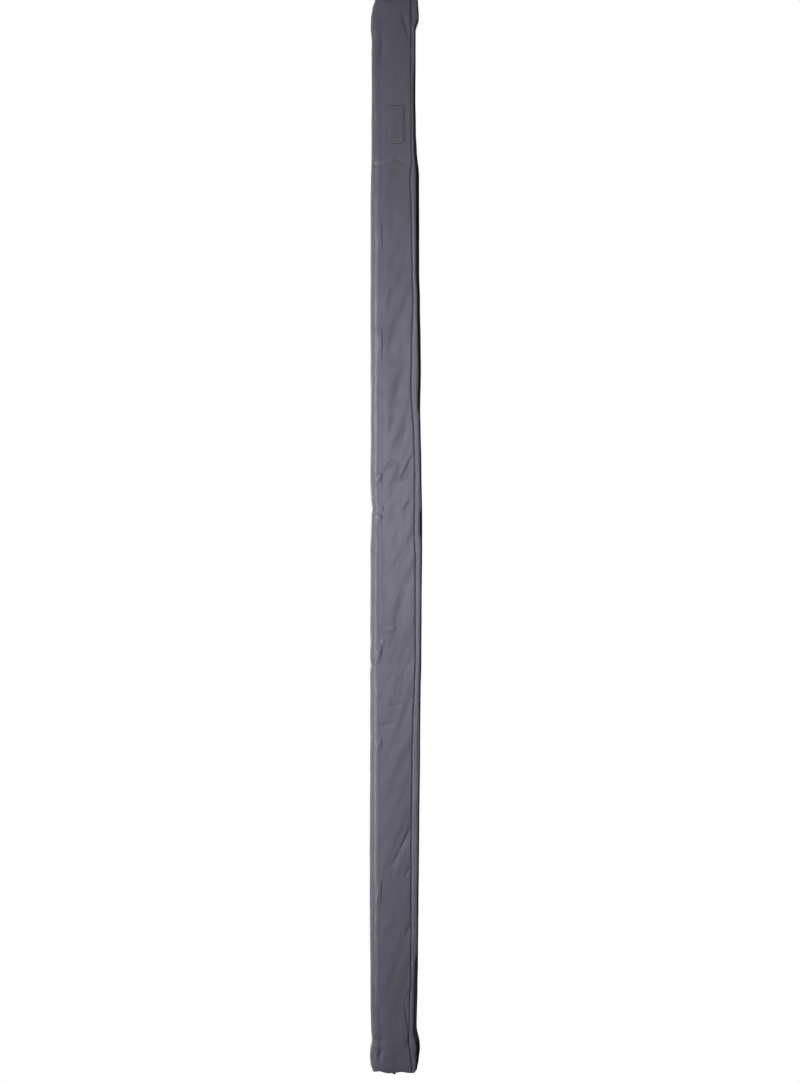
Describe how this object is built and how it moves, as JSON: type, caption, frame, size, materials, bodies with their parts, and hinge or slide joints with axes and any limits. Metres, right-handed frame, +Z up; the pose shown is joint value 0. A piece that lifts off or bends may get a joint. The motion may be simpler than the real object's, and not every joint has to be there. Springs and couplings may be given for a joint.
{
  "type": "roll out awning",
  "caption": "Long roll out side awning packed in its zipped PVC bag on a mounting rail, with rafters and legs folded inside.",
  "frame": {"origin": "centre of the mounting rail's flat back face, at mid length and mid height", "axes": "+X along the awning's length, +Y out of the rail's back face towards the vehicle, +Z up; the awning rolls out towards -Y"},
  "size_m": [2.5575, 0.1449, 0.117],
  "materials": {
    "grey_pvc": "smooth PVC coated cloth, satin",
    "black_pvc": "smooth black PVC coated cloth",
    "canopy_cloth": "ripstop canvas, sand coloured",
    "black_anodised": "satin black anodised extrusion",
    "silver_anodised": "satin anodised tube",
    "black_nylon": "glass filled nylon, fine grain",
    "rubber_foot": "moulded rubber",
    "webbing": "woven polyester webbing",
    "zinc_steel": "zinc plated steel",
    "keder_cord": "extruded PVC beading",
    "zip_metal": "black enamelled zinc",
    "zip_tape": "woven tape with moulded teeth"
  },
  "bodies": {
    "root": {"back_rail": "black_anodised", "rail_end_cap_left": "black_nylon", "rail_end_cap_right": "black_nylon", "mounting_bolts": "zinc_steel", "bracket_screws": "zinc_steel", "rafter_bracket_left": "zinc_steel", "rafter_bracket_right": "zinc_steel", "rafter_pin_left": "zinc_steel", "rafter_pin_right": "zinc_steel", "cover_bottom": "black_pvc", "cover_end_left": "grey_pvc", "cover_end_right": "grey_pvc", "end_tab": "webbing", "keder_top": "keder_cord", "keder_bottom": "keder_cord", "canopy_keder": "keder_cord", "canopy_lead": "canopy_cloth", "zip_lower": "zip_tape", "strap_left": "webbing", "strap_middle": "webbing", "strap_right": "webbing"},
    "cover": {"cover_top": "grey_pvc", "cover_front": "grey_pvc", "storm_flap": "grey_pvc", "blank_patch": "grey_pvc", "zip_upper": "zip_tape"},
    "zip_slider": {"zip_slider": "zip_metal"},
    "zip_pull": {"zip_pull": "zip_metal"},
    "front_bar": {"front_bar": "silver_anodised", "bar_end_left": "black_nylon", "bar_end_right": "black_nylon", "leg_pin_left": "zinc_steel", "leg_pin_right": "zinc_steel", "leg_spacer_left": "zinc_steel", "leg_spacer_right": "zinc_steel", "canopy_roll": "canopy_cloth"},
    "rafter_left": {"rafter_outer_left": "silver_anodised", "rafter_knuckle_left": "black_nylon"},
    "rafter_slide_left": {"rafter_inner_left": "silver_anodised", "rafter_tip_left": "black_nylon"},
    "rafter_lock_left": {"rafter_collar_left": "black_nylon"},
    "leg_left": {"leg_outer_left": "silver_anodised", "leg_knuckle_left": "black_nylon"},
    "leg_slide_left": {"leg_inner_left": "silver_anodised", "leg_foot_left": "rubber_foot"},
    "leg_lock_left": {"leg_collar_left": "black_nylon"},
    "rafter_right": {"rafter_outer_right": "silver_anodised", "rafter_knuckle_right": "black_nylon"},
    "rafter_slide_right": {"rafter_inner_right": "silver_anodised", "rafter_tip_right": "black_nylon"},
    "rafter_lock_right": {"rafter_collar_right": "black_nylon"},
    "leg_right": {"leg_outer_right": "silver_anodised", "leg_knuckle_right": "black_nylon"},
    "leg_slide_right": {"leg_inner_right": "silver_anodised", "leg_foot_right": "rubber_foot"},
    "leg_lock_right": {"leg_collar_right": "black_nylon"}
  },
  "joints": [
    {"name": "roll_out", "type": "slide", "parent": "root", "child": "front_bar", "axis": [0, -1, 0], "range_m": [0, 2.094], "deforming": ["canopy_roll", "canopy_lead", "strap_left", "strap_middle", "strap_right", "cover_top", "cover_front", "storm_flap", "blank_patch", "zip_upper", "cover_bottom", "zip_lower"]},
    {"name": "cover_open", "type": "hinge", "parent": "root", "child": "cover", "pos_m": [0, -0.006, 0.0423], "axis": [-1, 0, 0], "range_deg": [0, 120]},
    {"name": "zip_run", "type": "slide", "parent": "cover", "child": "zip_slider", "axis": [1, 0, 0], "range_m": [0, 2.46]},
    {"name": "zip_pull_swing", "type": "hinge", "parent": "zip_slider", "child": "zip_pull", "pos_m": [-1.237, -0.1168, -0.0455], "axis": [0, 0, 1], "range_deg": [0, 150]},
    {"name": "rafter_swing_left", "type": "hinge", "parent": "root", "child": "rafter_left", "pos_m": [-1.19, -0.0293, 0.01275], "axis": [0, 0, -1], "range_deg": [0, 90]},
    {"name": "rafter_extend_left", "type": "slide", "parent": "rafter_left", "child": "rafter_slide_left", "axis": [1, 0, 0], "range_m": [0, 0.92]},
    {"name": "rafter_twist_left", "type": "hinge", "parent": "rafter_left", "child": "rafter_lock_left", "pos_m": [-0.047, -0.0293, 0.01275], "axis": [1, 0, 0], "range_deg": [0, 90]},
    {"name": "leg_swing_left", "type": "hinge", "parent": "front_bar", "child": "leg_left", "pos_m": [-1.16, -0.0648, 0.0035], "axis": [0, 1, 0], "range_deg": [0, 90]},
    {"name": "leg_extend_left", "type": "slide", "parent": "leg_left", "child": "leg_slide_left", "axis": [1, 0, 0], "range_m": [0, 0.92]},
    {"name": "leg_twist_left", "type": "hinge", "parent": "leg_left", "child": "leg_lock_left", "pos_m": [-0.017, -0.0648, 0.0035], "axis": [1, 0, 0], "range_deg": [0, 90]},
    {"name": "rafter_swing_right", "type": "hinge", "parent": "root", "child": "rafter_right", "pos_m": [1.19, -0.0293, -0.01275], "axis": [0, 0, 1], "range_deg": [0, 90]},
    {"name": "rafter_extend_right", "type": "slide", "parent": "rafter_right", "child": "rafter_slide_right", "axis": [-1, 0, 0], "range_m": [0, 0.92]},
    {"name": "rafter_twist_right", "type": "hinge", "parent": "rafter_right", "child": "rafter_lock_right", "pos_m": [0.047, -0.0293, -0.01275], "axis": [-1, 0, 0], "range_deg": [0, 90]},
    {"name": "leg_swing_right", "type": "hinge", "parent": "front_bar", "child": "leg_right", "pos_m": [1.16, -0.0883, 0.0035], "axis": [0, -1, 0], "range_deg": [0, 90]},
    {"name": "leg_extend_right", "type": "slide", "parent": "leg_right", "child": "leg_slide_right", "axis": [-1, 0, 0], "range_m": [0, 0.92]},
    {"name": "leg_twist_right", "type": "hinge", "parent": "leg_right", "child": "leg_lock_right", "pos_m": [0.017, -0.0883, 0.0035], "axis": [-1, 0, 0], "range_deg": [0, 90]}
  ],
  "couplings": [
    {"joint": "cover_open", "follows": "roll_out", "rad_per_m": 0.99936},
    {"joint": "rafter_swing_left", "follows": "roll_out", "rad_per_m": 0.75014},
    {"joint": "leg_swing_left", "follows": "roll_out", "rad_per_m": 0.75014},
    {"joint": "rafter_swing_right", "follows": "roll_out", "rad_per_m": 0.75014},
    {"joint": "leg_swing_right", "follows": "roll_out", "rad_per_m": 0.75014}
  ]
}
